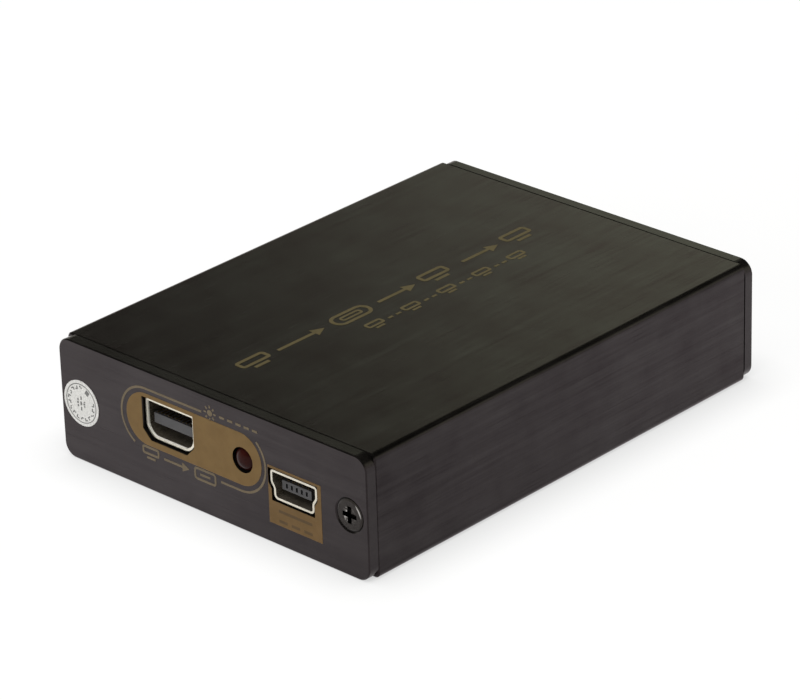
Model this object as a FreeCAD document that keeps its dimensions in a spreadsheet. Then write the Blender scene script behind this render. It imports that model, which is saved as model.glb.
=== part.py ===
import FreeCAD, Part
import os
import re
import Sketcher

# A small active video adapter: one miniature video input and two full-size
# video outputs in a black anodised aluminium box, fed by a small power socket.
# Millimetres. X runs to the right, Y from the input end to the output end, Z up.
# The origin is on the underside, at the middle of the box.

SIZES = {
    # Extruded housing
    "housing_width": 51.0,
    "housing_height": 16.0,
    "housing_length": 66.6,
    "housing_wall": 1.5,
    "housing_edge_radius": 0.8,
    "housing_end_chamfer": 0.2,
    # Slots that hold the circuit board
    "rail_thickness": 1.0,
    "rail_reach": 1.4,
    # Screw ports that run the length of the housing
    "port_wall": 0.68,
    "port_mouth": 1.4,
    # End plates
    "plate_thickness": 1.5,
    "plate_corner_radius": 1.8,
    "plate_edge_chamfer": 0.15,
    "cutout_clearance": 0.22,
    # Countersunk plate screws
    "screw_inset": 2.9,
    "screw_diameter": 2.5,
    "screw_length": 8.0,
    "screw_head_diameter": 4.2,
    "screw_head_sink": 0.14,
    "screw_head_rise": 0.12,
    "screw_head_bevel": 0.3,
    "screw_fit": 0.02,
    "screw_hole_clearance": 0.1,
    "screw_recess_span": 2.2,
    "screw_recess_width": 0.62,
    "screw_recess_depth": 0.75,
    # Seal sticker over the left front screw
    "sticker_diameter": 6.0,
    "sticker_thickness": 0.08,
    "sticker_shift": 0.65,
    # Circuit board
    "board_thickness": 1.6,
    "board_port_gap": 0.1,
    "board_side_gap": 0.2,
    "board_end_gap": 0.2,
    # What all receptacles share
    "shell_wall": 0.3,
    "shell_bend": 0.15,
    "tab_width": 1.4,
    "tab_setback": 3.4,
    "tab_tail": 0.4,
    "slot_clearance": 0.1,
    "window_width": 1.2,
    "window_length": 2.4,
    "window_setback": 1.7,
    "insulator_fit": 0.03,
    "insulator_block": 3.5,
    "insulator_foot": 1.0,
    "insulator_cover": 0.6,
    "contact_thickness": 0.12,
    "contact_tip_gap": 0.3,
    "contact_standoff": 0.15,
    # Miniature video input
    "video_in_offset": -6.95,
    "video_in_recess": 0.4,
    "video_in_rise": 1.15,
    "video_in_width": 8.2,
    "video_in_height": 5.1,
    "video_in_depth": 9.0,
    "video_in_shoulder": 1.15,
    "video_in_step": 1.15,
    "video_in_bend": 1.5,
    "video_in_tongue_width": 6.4,
    "video_in_tongue_thickness": 1.3,
    "video_in_tongue_height": 1.85,
    "video_in_tongue_setback": 0.5,
    "video_in_contact_pitch": 0.6,
    "video_in_contact_width": 0.2,
    "video_in_top_contacts": 10,
    "video_in_bottom_contacts": 10,
    # Power input
    "power_in_gap": 2.45,
    "power_in_recess": 0.15,
    "power_in_rise": 0.0,
    "power_in_width": 7.5,
    "power_in_height": 3.75,
    "power_in_depth": 9.0,
    "power_in_shoulder": 2.1,
    "power_in_step": 0.5,
    "power_in_drop": 0.75,
    "power_in_bend": 0.35,
    "power_in_tongue_width": 4.7,
    "power_in_tongue_thickness": 1.2,
    "power_in_tongue_height": 1.35,
    "power_in_tongue_setback": 0.5,
    "power_in_groove_width": 0.32,
    "power_in_groove_height": 0.6,
    "power_in_groove_depth": 1.0,
    "power_in_contact_pitch": 0.8,
    "power_in_contact_width": 0.35,
    "power_in_top_contacts": 5,
    # Full-size video outputs
    "video_out_gap": 3.8,
    "video_out_recess": 0.3,
    "video_out_rise": 0.0,
    "video_out_width": 14.8,
    "video_out_height": 5.5,
    "video_out_depth": 11.0,
    "video_out_shoulder": 2.1,
    "video_out_step": 1.9,
    "video_out_bend": 0.5,
    "video_out_tongue_width": 10.8,
    "video_out_tongue_thickness": 1.5,
    "video_out_tongue_height": 2.35,
    "video_out_tongue_setback": 1.0,
    "video_out_contact_pitch": 1.0,
    "video_out_contact_width": 0.28,
    "video_out_top_contacts": 10,
    "video_out_bottom_contacts": 9,
    # Power indicator
    "led_gap": 6.45,
    "led_height": 3.45,
    "led_diameter": 3.0,
    "led_dome_radius": 1.8,
    "led_length": 5.2,
    "led_flange_diameter": 3.8,
    "led_flange_thickness": 1.0,
    "led_protrusion": 0.35,
    "led_hole_clearance": 0.15,
    "led_lead_width": 0.5,
    "led_lead_pitch": 2.54,
    "led_lead_reach": 2.0,
    "led_lead_tail": 1.0,
    # Flat packages with leads or pads on four sides or two
    "lead_thickness": 0.15,
    "lead_foot": 0.5,
    "lead_reach": 1.0,
    "package_standoff": 0.1,
    "package_bevel": 0.2,
    "package_dimple_diameter": 0.9,
    "package_dimple_depth": 0.1,
    "package_dimple_inset": 1.3,
    "converter_gap": 1.5,
    "converter_size": 7.0,
    "converter_thickness": 1.4,
    "converter_lead_count": 8,
    "converter_lead_pitch": 0.8,
    "converter_lead_width": 0.35,
    "splitter_gap": 3.0,
    "splitter_size": 6.0,
    "splitter_thickness": 0.9,
    "splitter_lead_count": 10,
    "splitter_lead_pitch": 0.5,
    "splitter_lead_width": 0.25,
    "splitter_pad_length": 0.4,
    "memory_gap": 2.5,
    "memory_length": 5.0,
    "memory_width": 3.9,
    "memory_thickness": 1.5,
    "memory_lead_count": 4,
    "memory_lead_pitch": 1.27,
    "memory_lead_width": 0.42,
    # Voltage regulator with a heat tab
    "regulator_gap": 1.6,
    "regulator_length": 6.5,
    "regulator_width": 3.5,
    "regulator_thickness": 1.6,
    "regulator_lead_count": 3,
    "regulator_lead_pitch": 2.3,
    "regulator_lead_width": 0.7,
    "regulator_tab_width": 3.0,
    # Power inductor
    "inductor_gap": 1.2,
    "inductor_size": 6.0,
    "inductor_height": 3.0,
    "inductor_corner_radius": 1.2,
    "inductor_core_diameter": 4.6,
    "inductor_core_rise": 0.15,
    # Upright capacitors
    "can_gap": 1.5,
    "can_pitch": 7.0,
    "can_count": 2,
    "can_diameter": 5.0,
    "can_height": 5.2,
    "can_base_size": 5.3,
    "can_base_thickness": 0.8,
    # Crystal
    "crystal_gap": 2.2,
    "crystal_length": 11.0,
    "crystal_width": 4.6,
    "crystal_height": 3.3,
    # Small chip parts
    "array_gap": 1.2,
    "array_length": 2.5,
    "array_width": 1.2,
    "array_thickness": 0.6,
    "array_pitch": 3.4,
    "array_count": 4,
    "resistor_gap": 1.0,
    "resistor_length": 1.6,
    "resistor_width": 0.8,
    "resistor_thickness": 0.45,
    "resistor_pitch": 1.6,
    "resistor_count": 8,
    "ceramic_gap": 1.4,
    "ceramic_length": 1.6,
    "ceramic_width": 0.8,
    "ceramic_thickness": 0.8,
    "ceramic_pitch": 2.0,
    "ceramic_count": 4,
}

# Places and sizes that follow from the sheet, as formulas in its names
DERIVED = {
    "front_face": "-(housing_length / 2 + plate_thickness)",
    "rear_face": "housing_length / 2 + plate_thickness",
    "half_width": "housing_width / 2",
    "screw_side": "housing_width / 2 - screw_inset",
    "screw_height": "housing_height / 2",
    "screw_radius": "screw_diameter / 2",
    "port_bore_radius": "screw_diameter / 2 + screw_fit",
    "port_radius": "port_bore_radius + port_wall",
    "board_top": "screw_height - port_radius - board_port_gap",
    "board_underside": "board_top - board_thickness",
    "board_half_width": "housing_width / 2 - housing_wall - board_side_gap",
    "board_half_length": "housing_length / 2 - board_end_gap",
    "led_radius": "led_diameter / 2",
    "led_dome_height": "led_dome_radius - sqrt(led_dome_radius ^ 2 - led_radius ^ 2)",
    "led_hole_radius": "led_radius + led_hole_clearance",
    "video_in_place": "video_in_offset",
    "led_place": "video_in_place + video_in_width / 2 + led_gap + led_flange_diameter / 2",
    "power_in_place": "led_place + led_flange_diameter / 2 + power_in_gap + power_in_width / 2",
    "video_out_place": "(video_out_gap + video_out_width) / 2",
    "contact_tail": "contact_standoff + contact_thickness",
    "video_in_back": "front_face + video_in_recess + video_in_depth + insulator_foot + contact_tail",
    "power_in_back": "front_face + power_in_recess + power_in_depth + insulator_foot + contact_tail",
    "video_out_back": "rear_face - video_out_recess - video_out_depth - insulator_foot - contact_tail",
    "led_front": "front_face - led_protrusion",
    "led_back": "led_front + led_length + led_lead_reach + led_lead_width",
    "converter_centre": "video_in_back + converter_gap + lead_reach + converter_size / 2",
    "converter_back": "converter_centre + converter_size / 2 + lead_reach",
    "splitter_centre": "converter_back + splitter_gap + splitter_size / 2",
    "regulator_centre": "power_in_back + regulator_gap + lead_reach + regulator_width / 2",
    "regulator_back": "regulator_centre + regulator_width / 2 + lead_reach",
    "inductor_centre": "regulator_back + inductor_gap + inductor_size / 2",
    "inductor_back": "inductor_centre + inductor_size / 2",
    "memory_centre": "inductor_back + memory_gap + lead_reach + memory_width / 2",
    "can_centre": "led_back + can_gap + can_base_size / 2",
    "crystal_centre": "converter_back + crystal_gap + crystal_length / 2",
    "ceramic_reach": "splitter_size / 2 + ceramic_gap + ceramic_length",
    "crystal_place": "-(ceramic_reach + crystal_gap + crystal_width / 2)",
    "array_centre": "video_out_back - array_gap - array_width / 2",
    "resistor_centre": "array_centre - array_width / 2 - resistor_gap - resistor_length / 2",
}

PLANE_SIDE = {"XY_Plane": 1, "XZ_Plane": -1, "YZ_Plane": 1}
AXIS_TURN = {
    "x": FreeCAD.Rotation(FreeCAD.Vector(0, 0, 1), FreeCAD.Vector(1, 0, 0)),
    "y": FreeCAD.Rotation(FreeCAD.Vector(0, 0, 1), FreeCAD.Vector(0, 1, 0)),
    "z": FreeCAD.Rotation(),
}
HALF_TURN = FreeCAD.Rotation(FreeCAD.Vector(0, 0, 1), 180)
RIGHT_ANGLE = 90
FULL_TURN = 360
LENGTH_TOLERANCE = 1e-6

doc = FreeCAD.newDocument("VideoAdapter")
sheet = doc.addObject("Spreadsheet::Sheet", "Sizes")
sub_parts = {}


def fill_sheet():
    """Write each driving dimension into a cell of its own, under its name."""
    for row, (name, size) in enumerate(SIZES.items(), 1):
        sheet.set(f"A{row}", name)
        sheet.set(f"B{row}", str(size))
        sheet.setAlias(f"B{row}", name)
    doc.recompute()


def formula(text):
    """Turn a formula in plain names into one that reads the sheet's cells."""
    def cell(match):
        word = match.group()
        if word in DERIVED:
            return "(" + formula(DERIVED[word]) + ")"
        if word in SIZES:
            return "Sizes." + word
        return word
    return re.sub(r"[a-z]+(?:_[a-z]+)*", cell, text)


def value(text):
    """The present value of a formula."""
    return float(sheet.evalExpression(formula(text)))


def bind(item, attribute, text):
    """Tie one property of an item to a formula."""
    item.setExpression(attribute, formula(text))


def place(item, point):
    """Put an item at a point given by three formulas."""
    for axis, text in zip("xyz", point):
        bind(item, f"Placement.Base.{axis}", text)


def new_body(name, solids=1):
    """A sub-part under its own name, which ends with a known count of solids."""
    body = doc.addObject("PartDesign::Body", name)
    body.Label = name
    body.AllowCompound = solids > 1
    sub_parts[name] = (body, solids)
    return body


def origin_feature(body, role):
    """A plane or an axis of a body's own origin."""
    return next(item for item in body.Origin.OriginFeatures if item.Role == role)


def outline(body, name, plane, points, offset="0"):
    """A closed outline of straight edges, each corner held at two formulas."""
    sketch = body.newObject("Sketcher::SketchObject", name)
    sketch.AttachmentSupport = [(origin_feature(body, plane), "")]
    sketch.MapMode = "FlatFace"
    bind(sketch, "AttachmentOffset.Base.z", f"{PLANE_SIDE[plane]} * ({offset})")
    corners = [FreeCAD.Vector(value(across), value(up), 0) for across, up in points]
    for number, corner in enumerate(corners):
        following = corners[(number + 1) % len(corners)]
        sketch.addGeometry(Part.LineSegment(corner, following), False)
    for number, (across, up) in enumerate(points):
        following = (number + 1) % len(points)
        sketch.addConstraint(Sketcher.Constraint("Coincident", number, 2, following, 1))
        for kind, text, start in (
            ("DistanceX", across, corners[number].x),
            ("DistanceY", up, corners[number].y),
        ):
            held = sketch.addConstraint(Sketcher.Constraint(kind, -1, 1, number, 1, start))
            bind(sketch, f"Constraints[{held}]", text)
    return sketch


def pad(body, sketch, length, towards=1, both_ways=False):
    """Thicken an outline towards plus or minus its axis, or half each way."""
    feature = body.newObject("PartDesign::Pad", sketch.Name + "_pad")
    feature.Profile = sketch
    bind(feature, "Length", length)
    feature.Midplane = both_ways
    feature.Reversed = towards * PLANE_SIDE[plane_of(sketch)] < 0
    doc.recompute()
    return feature


def pocket(body, sketch, length, towards=1):
    """Cut an outline out of a body, towards plus or minus its axis."""
    before = body.Shape.Volume
    feature = body.newObject("PartDesign::Pocket", sketch.Name + "_pocket")
    feature.Profile = sketch
    bind(feature, "Length", length)
    feature.Reversed = towards * PLANE_SIDE[plane_of(sketch)] > 0
    doc.recompute()
    if not body.Shape.Volume < before:
        raise ValueError(feature.Name + " cuts nothing")
    return feature


def plane_of(sketch):
    """The role of the origin plane that a sketch lies parallel to."""
    return sketch.AttachmentSupport[0][0].Role


def block(body, name, low, size, cut=False):
    """A box from its lowest corner and its three lengths, added or cut away."""
    kind = "PartDesign::SubtractiveBox" if cut else "PartDesign::AdditiveBox"
    feature = body.newObject(kind, name)
    for attribute, text in zip(("Length", "Width", "Height"), size):
        bind(feature, attribute, text)
    place(feature, low)
    return feature


def rod(body, name, start, axis, radius, length, cut=False):
    """A cylinder from the middle of its first end, added or cut away."""
    kind = "PartDesign::SubtractiveCylinder" if cut else "PartDesign::AdditiveCylinder"
    feature = body.newObject(kind, name)
    feature.Placement = FreeCAD.Placement(FreeCAD.Vector(), AXIS_TURN[axis])
    bind(feature, "Radius", radius)
    bind(feature, "Height", length)
    place(feature, start)
    return feature


def taper(body, name, start, axis, radii, length, cut=False):
    """A cone from the middle of its first end, added or cut away."""
    kind = "PartDesign::SubtractiveCone" if cut else "PartDesign::AdditiveCone"
    feature = body.newObject(kind, name)
    feature.Placement = FreeCAD.Placement(FreeCAD.Vector(), AXIS_TURN[axis])
    bind(feature, "Radius1", radii[0])
    bind(feature, "Radius2", radii[1])
    bind(feature, "Height", length)
    place(feature, start)
    return feature


def row(body, feature, axis, count, pitch):
    """Repeat a feature along an axis at an even pitch."""
    pattern = body.newObject("PartDesign::LinearPattern", feature.Name + "_row")
    pattern.Originals = [feature]
    pattern.Direction = (origin_feature(body, axis), [""])
    bind(pattern, "Length", f"({count} - 1) * ({pitch})")
    bind(pattern, "Occurrences", count)
    body.Tip = pattern
    doc.recompute()
    return pattern


def runs_along(edge, direction):
    """Whether an edge is straight and parallel to a direction."""
    if not isinstance(edge.Curve, Part.Line):
        return False
    return abs(edge.Curve.Direction.dot(direction)) > 1 - LENGTH_TOLERANCE


def dress(body, base, kind, size_name, size, chosen):
    """Fillet or chamfer the edges of a feature that a test chooses."""
    doc.recompute()
    names = [f"Edge{n}" for n, edge in enumerate(base.Shape.Edges, 1) if chosen(edge)]
    feature = body.newObject(f"PartDesign::{kind}", f"{base.Name}_{kind.lower()}")
    feature.Base = (base, names)
    bind(feature, size_name, size)
    body.Tip = feature
    doc.recompute()
    return feature


def round_edges(body, base, radius, chosen):
    """Round the chosen edges of a feature."""
    return dress(body, base, "Fillet", "Radius", radius, chosen)


def bevel_edges(body, base, size, chosen):
    """Bevel the chosen edges of a feature."""
    return dress(body, base, "Chamfer", "Size", size, chosen)


def long_edge(edge):
    """Whether an edge runs from the input end towards the output end."""
    return runs_along(edge, FreeCAD.Vector(0, 1, 0))


def upright_edge(edge):
    """Whether an edge stands upright."""
    return runs_along(edge, FreeCAD.Vector(0, 0, 1))


def outer_edge_at(places, half_width, height):
    """A test for edges on the outer sides of a box whose ends lie at given places along Y."""
    def chosen(edge):
        box = edge.BoundBox
        at_end = any(
            abs(box.YMin - end) < LENGTH_TOLERANCE and abs(box.YMax - end) < LENGTH_TOLERANCE
            for end in places
        )
        outermost = (
            box.XMax > half_width - LENGTH_TOLERANCE
            or box.XMin < -half_width + LENGTH_TOLERANCE
            or box.ZMax > height - LENGTH_TOLERANCE
            or box.ZMin < LENGTH_TOLERANCE
        )
        return at_end and outermost
    return chosen


def rectangle(low_x, high_x, low_z, high_z):
    """The four corners of an upright rectangle."""
    return [(low_x, low_z), (high_x, low_z), (high_x, high_z), (low_x, high_z)]


def make_housing():
    """The extruded housing, with board rails and an open screw port on each side."""
    body = new_body("housing_shell")
    start = "-housing_length / 2"
    section = outline(
        body, "housing_section", "XZ_Plane",
        rectangle("-half_width", "half_width", "0", "housing_height"), start)
    bar = pad(body, section, "housing_length")
    bar = round_edges(body, bar, "housing_edge_radius", long_edge)
    inner = "half_width - housing_wall"
    bore = outline(
        body, "housing_bore", "XZ_Plane",
        rectangle(f"-({inner})", inner, "housing_wall", "housing_height - housing_wall"), start)
    pocket(body, bore, "housing_length")
    for side, sign in (("left", -1), ("right", 1)):
        wall = f"{sign} * ({inner})"
        tip = f"{sign} * ({inner} - rail_reach)"
        centre = f"{sign} * screw_side"
        rail = outline(
            body, f"rail_{side}", "XZ_Plane",
            rectangle(tip, wall, "board_underside - rail_thickness", "board_underside"), start)
        pad(body, rail, "housing_length")
        web = outline(
            body, f"port_web_{side}", "XZ_Plane",
            rectangle(centre, wall, "screw_height - port_radius", "screw_height + port_radius"), start)
        pad(body, web, "housing_length")
        rod(body, f"port_{side}", (centre, start, "screw_height"), "y", "port_radius", "housing_length")
        rod(body, f"port_bore_{side}", (centre, start, "screw_height"), "y",
            "port_bore_radius", "housing_length", cut=True)
        doc.recompute()
        mouth = outline(
            body, f"port_mouth_{side}", "XZ_Plane",
            rectangle(f"{sign} * (screw_side - 2 * port_radius)", centre,
                      "screw_height - port_mouth / 2", "screw_height + port_mouth / 2"), start)
        last = pocket(body, mouth, "housing_length")
    ends = (value("-housing_length / 2"), value("housing_length / 2"))
    bevel_edges(body, last, "housing_end_chamfer",
                outer_edge_at(ends, value("half_width"), value("housing_height")))


def plate_blank(name, face, inward):
    """An end plate with rounded corners, a bevelled outer edge and two countersunk holes."""
    body = new_body(name)
    section = outline(
        body, f"{name}_section", "XZ_Plane",
        rectangle("-half_width", "half_width", "0", "housing_height"), face)
    blank = pad(body, section, "plate_thickness", inward)
    blank = round_edges(body, blank, "plate_corner_radius", long_edge)
    bevel_edges(body, blank, "plate_edge_chamfer",
                outer_edge_at((value(face),), value("half_width"), value("housing_height")))
    mouth_radius = "screw_head_diameter / 2 + screw_head_sink + screw_fit"
    hole_radius = "screw_radius + screw_hole_clearance"
    low_face = face if inward > 0 else f"{face} - plate_thickness"
    for side, sign in (("left", -1), ("right", 1)):
        centre = f"{sign} * screw_side"
        rod(body, f"{name}_hole_{side}", (centre, low_face, "screw_height"), "y",
            hole_radius, "plate_thickness", cut=True)
        depth = f"{mouth_radius} - ({hole_radius})"
        low_end = face if inward > 0 else f"{face} - ({depth})"
        radii = (mouth_radius, hole_radius) if inward > 0 else (hole_radius, mouth_radius)
        taper(body, f"{name}_sink_{side}", (centre, low_end, "screw_height"), "y",
              radii, depth, cut=True)
    doc.recompute()
    return body


def receptacle_outline(kind, inset="0"):
    """The outline of a receptacle's shell, moved in from its outside by an inset.

    The shell is widest at the top and steps in below a shoulder. The outline is in the
    receptacle's own frame: X from its middle, Z from the top of the circuit board.
    """
    rise = f"{kind}_rise"
    side = f"{kind}_width / 2 - ({inset})"
    top = f"{rise} + {kind}_height - ({inset})"
    bottom = f"{rise} + ({inset})"
    step = f"{kind}_step"
    if kind == "power_in":
        drop = f"{kind}_drop"
        lean = f"(sqrt({step} ^ 2 + {drop} ^ 2) - {drop}) / {step}"
        shoulder = f"{rise} + {kind}_shoulder + ({lean}) * ({inset})"
        right = [
            (side, top),
            (side, shoulder),
            (f"{side} - {step}", f"{shoulder} - {drop}"),
            (f"{side} - {step}", bottom),
        ]
    else:
        drop = f"{kind}_shoulder"
        slope = f"sqrt({step} ^ 2 + {drop} ^ 2)"
        shoulder = f"{rise} + {drop} + ({slope} - {drop}) / {step} * ({inset})"
        toe = f"{kind}_width / 2 - {step} - ({slope} - {step}) / {drop} * ({inset})"
        right = [(side, top), (side, shoulder), (toe, bottom)]
    left = [(f"-({across})", up) for across, up in reversed(right)]
    return right + left


def round_receptacle(body, bar, kind, outward):
    """Round a receptacle's long edges: tightly at the top, with the kind's own bend below."""
    middle = value(f"{kind}_rise + ({kind}_shoulder + {kind}_height) / 2")
    bar = round_edges(body, bar, f"shell_bend + {outward}",
                      lambda edge: long_edge(edge) and edge.BoundBox.ZMin > middle)
    return round_edges(body, bar, f"{kind}_bend + {outward}",
                       lambda edge: long_edge(edge) and edge.BoundBox.ZMax < middle)


def tab_starts(kind):
    """Where a shell's two tabs on each side begin, behind its mouth."""
    return ("tab_setback", f"{kind}_depth - tab_setback + tab_width")


def make_shell(name, kind):
    """A stamped metal shell, open at both ends, with two latch windows and four solder tabs."""
    body = new_body(name)
    section = outline(body, f"{name}_section", "XZ_Plane", receptacle_outline(kind))
    bar = pad(body, section, f"{kind}_depth")
    bar = round_receptacle(body, bar, kind, "shell_wall")
    ends = [
        f"Face{n}" for n, face in enumerate(bar.Shape.Faces, 1)
        if face.BoundBox.YLength < LENGTH_TOLERANCE
    ]
    walls = body.newObject("PartDesign::Thickness", f"{name}_walls")
    walls.Base = (bar, ends)
    bind(walls, "Value", "shell_wall")
    walls.Join = "Intersection"
    walls.Reversed = True
    body.Tip = walls
    doc.recompute()
    window = block(
        body, f"{name}_window",
        (f"{kind}_width / 4 - window_width / 2", "window_setback",
         f"{kind}_rise + {kind}_height - shell_wall"),
        ("window_width", "window_length", "shell_wall"), cut=True)
    mirror = body.newObject("PartDesign::Mirrored", f"{name}_window_mirror")
    mirror.Originals = [window]
    mirror.MirrorPlane = (origin_feature(body, "YZ_Plane"), [""])
    body.Tip = mirror
    doc.recompute()
    side = f"{kind}_width / 2"
    foot = "-(board_thickness + tab_tail)"
    height = f"{kind}_rise + {kind}_height - shell_wall - shell_bend - ({foot})"
    for end, start in zip(("front", "rear"), tab_starts(kind)):
        for hand, low_x in (("left", f"-({side})"), ("right", f"{side} - shell_wall")):
            block(body, f"{name}_tab_{end}_{hand}", (low_x, start, foot),
                  ("shell_wall", "tab_width", height))
    doc.recompute()
    return body


def contact_rows(kind):
    """For each row of contacts: its name, count, shift along X and the height of its underside."""
    tongue = f"{kind}_rise + {kind}_tongue_height"
    top = f"{tongue} + {kind}_tongue_thickness"
    if kind == "power_in":
        return [("top", "power_in_top_contacts", "0", top)]
    shift = f"{kind}_contact_pitch / 4 * ({kind}_top_contacts == {kind}_bottom_contacts ? 1 : 0)"
    under = f"{tongue} - contact_thickness"
    return [
        ("top", f"{kind}_top_contacts", f"-({shift})", top),
        ("bottom", f"{kind}_bottom_contacts", shift, under),
    ]


def first_contact(kind, count, shift):
    """The middle of the first contact of a row."""
    return f"{shift} - ({count} - 1) * {kind}_contact_pitch / 2"


def make_insulator(name, kind):
    """The moulding in a shell: rear block, tongue and the foot that stands on the board.

    One wide channel per row lets the contacts through. The power input's tongue also has a
    groove in its tip for each contact.
    """
    body = new_body(name)
    block_start = f"{kind}_depth - insulator_block"
    section = outline(
        body, f"{name}_section", "XZ_Plane",
        receptacle_outline(kind, "shell_wall + insulator_fit"), block_start)
    core = pad(body, section, "insulator_block")
    round_receptacle(body, core, kind, "0")
    tongue_half = f"{kind}_tongue_width / 2"
    tongue_low = f"{kind}_rise + {kind}_tongue_height"
    block(body, f"{name}_tongue", (f"-({tongue_half})", f"{kind}_tongue_setback", tongue_low),
          (f"{kind}_tongue_width", f"{block_start} - {kind}_tongue_setback",
           f"{kind}_tongue_thickness"))
    block(body, f"{name}_foot", (f"-{kind}_width / 2", f"{kind}_depth", "0"),
          (f"{kind}_width", "insulator_foot",
           f"{tongue_low} + {kind}_tongue_thickness + insulator_cover"))
    for label, count, shift, underside in contact_rows(kind):
        first = first_contact(kind, count, shift)
        block(body, f"{name}_channel_{label}",
              (f"{first} - {kind}_contact_width / 2 - insulator_fit",
               block_start,
               f"{underside} - (insulator_fit * {1 if label == 'bottom' else 0})"),
              (f"({count} - 1) * {kind}_contact_pitch + {kind}_contact_width + 2 * insulator_fit",
               "insulator_block + insulator_foot",
               "contact_thickness + insulator_fit"), cut=True)
    if kind == "power_in":
        groove = block(
            body, f"{name}_groove",
            (f"{first} - power_in_groove_width / 2",
             "power_in_tongue_setback",
             f"{tongue_low} + (power_in_tongue_thickness - power_in_groove_height) / 2"),
            ("power_in_groove_width", "power_in_groove_depth", "power_in_groove_height"), cut=True)
        row(body, groove, "X_Axis", count, "power_in_contact_pitch")
    return body


def make_contacts(name, kind):
    """The contact strips: along the tongue, back through the moulding and down to the board."""
    rows = contact_rows(kind)
    body = new_body(name, sum(round(value(count)) for label, count, shift, underside in rows))
    tip = f"{kind}_tongue_setback + contact_tip_gap"
    back = f"{kind}_depth + insulator_foot + contact_standoff"
    heel = f"{back} + contact_thickness"
    for label, count, shift, underside in rows:
        upper = f"{underside} + contact_thickness"
        strip = outline(body, f"{name}_{label}", "YZ_Plane", [
            (tip, underside),
            (back, underside),
            (back, "0"),
            (heel, "0"),
            (heel, upper),
            (tip, upper),
        ], first_contact(kind, count, shift))
        blade = pad(body, strip, f"{kind}_contact_width", both_ways=True)
        row(body, blade, "X_Axis", count, f"{kind}_contact_pitch")
    return body


def receptacle_places():
    """Each receptacle: its kind, name ending, sideways place, mouth place and facing."""
    return [
        ("video_in", "", "video_in_place", "front_face + video_in_recess", 1),
        ("power_in", "", "power_in_place", "front_face + power_in_recess", 1),
        ("video_out", "_left", "-(video_out_place)", "rear_face - video_out_recess", -1),
        ("video_out", "_right", "video_out_place", "rear_face - video_out_recess", -1),
    ]


def make_receptacles():
    """All receptacles, each a shell, a moulding and its contacts, set on the board."""
    for kind, ending, across, mouth, facing in receptacle_places():
        for piece, maker in (
            ("shell", make_shell), ("insulator", make_insulator), ("contacts", make_contacts),
        ):
            body = maker(f"{kind}_{piece}{ending}", kind)
            if facing < 0:
                body.Placement = FreeCAD.Placement(FreeCAD.Vector(), HALF_TURN)
            place(body, (across, mouth, "board_top"))


def moved_outline(points, across, up):
    """An outline moved by two formulas."""
    return [(f"{across} + ({x})", f"{up} + ({z})") for x, z in points]


def make_plates():
    """The front plate with the input openings and the rear plate with the output openings."""
    front = plate_blank("front_plate", "front_face", 1)
    for kind in ("video_in", "power_in"):
        points = receptacle_outline(kind, "-cutout_clearance")
        opening = outline(front, f"front_opening_{kind}", "XZ_Plane",
                          moved_outline(points, f"{kind}_place", "board_top"), "front_face")
        pocket(front, opening, "plate_thickness", 1)
    rod(front, "front_led_hole", ("led_place", "front_face", "board_top + led_height"), "y",
        "led_hole_radius", "plate_thickness", cut=True)
    rear = plate_blank("rear_plate", "rear_face", -1)
    for side, sign in (("left", -1), ("right", 1)):
        points = receptacle_outline("video_out", "-cutout_clearance")
        opening = outline(rear, f"rear_opening_{side}", "XZ_Plane",
                          moved_outline(points, f"{sign} * (video_out_place)", "board_top"), "rear_face")
        pocket(rear, opening, "plate_thickness", -1)


def make_screws(name, mouth, facing):
    """Two countersunk screws with bevelled rims and cross recesses, one each side."""
    body = new_body(name, 2)
    head_radius = "screw_head_diameter / 2"
    head = f"{head_radius} - screw_radius"
    for side, sign in (("left", -1), ("right", 1)):
        centre = f"{sign} * screw_side"
        taper(body, f"{name}_head_{side}", (centre, "0", "0"), "y", (head_radius, "screw_radius"), head)
        taper(body, f"{name}_rim_{side}", (centre, "-screw_head_rise", "0"), "y",
              (f"{head_radius} - screw_head_bevel", head_radius), "screw_head_rise")
        rod(body, f"{name}_shank_{side}", (centre, head, "0"), "y",
            "screw_radius", f"screw_length - ({head})")
        for arm, span_x, span_z in (
            ("across", "screw_recess_span", "screw_recess_width"),
            ("up", "screw_recess_width", "screw_recess_span"),
        ):
            block(body, f"{name}_recess_{arm}_{side}",
                  (f"{centre} - {span_x} / 2", "-screw_head_rise", f"-{span_z} / 2"),
                  (span_x, "screw_recess_depth", span_z), cut=True)
    if facing < 0:
        body.Placement = FreeCAD.Placement(FreeCAD.Vector(), HALF_TURN)
    place(body, ("0", mouth, "screw_height"))


def make_sticker():
    """The round seal stuck over the left front screw."""
    body = new_body("seal_sticker")
    rod(body, "seal_disc", ("0", "-sticker_thickness", "0"), "y",
        "sticker_diameter / 2", "sticker_thickness")
    place(body, ("-(screw_side) + sticker_shift", "front_face", "screw_height"))


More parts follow.
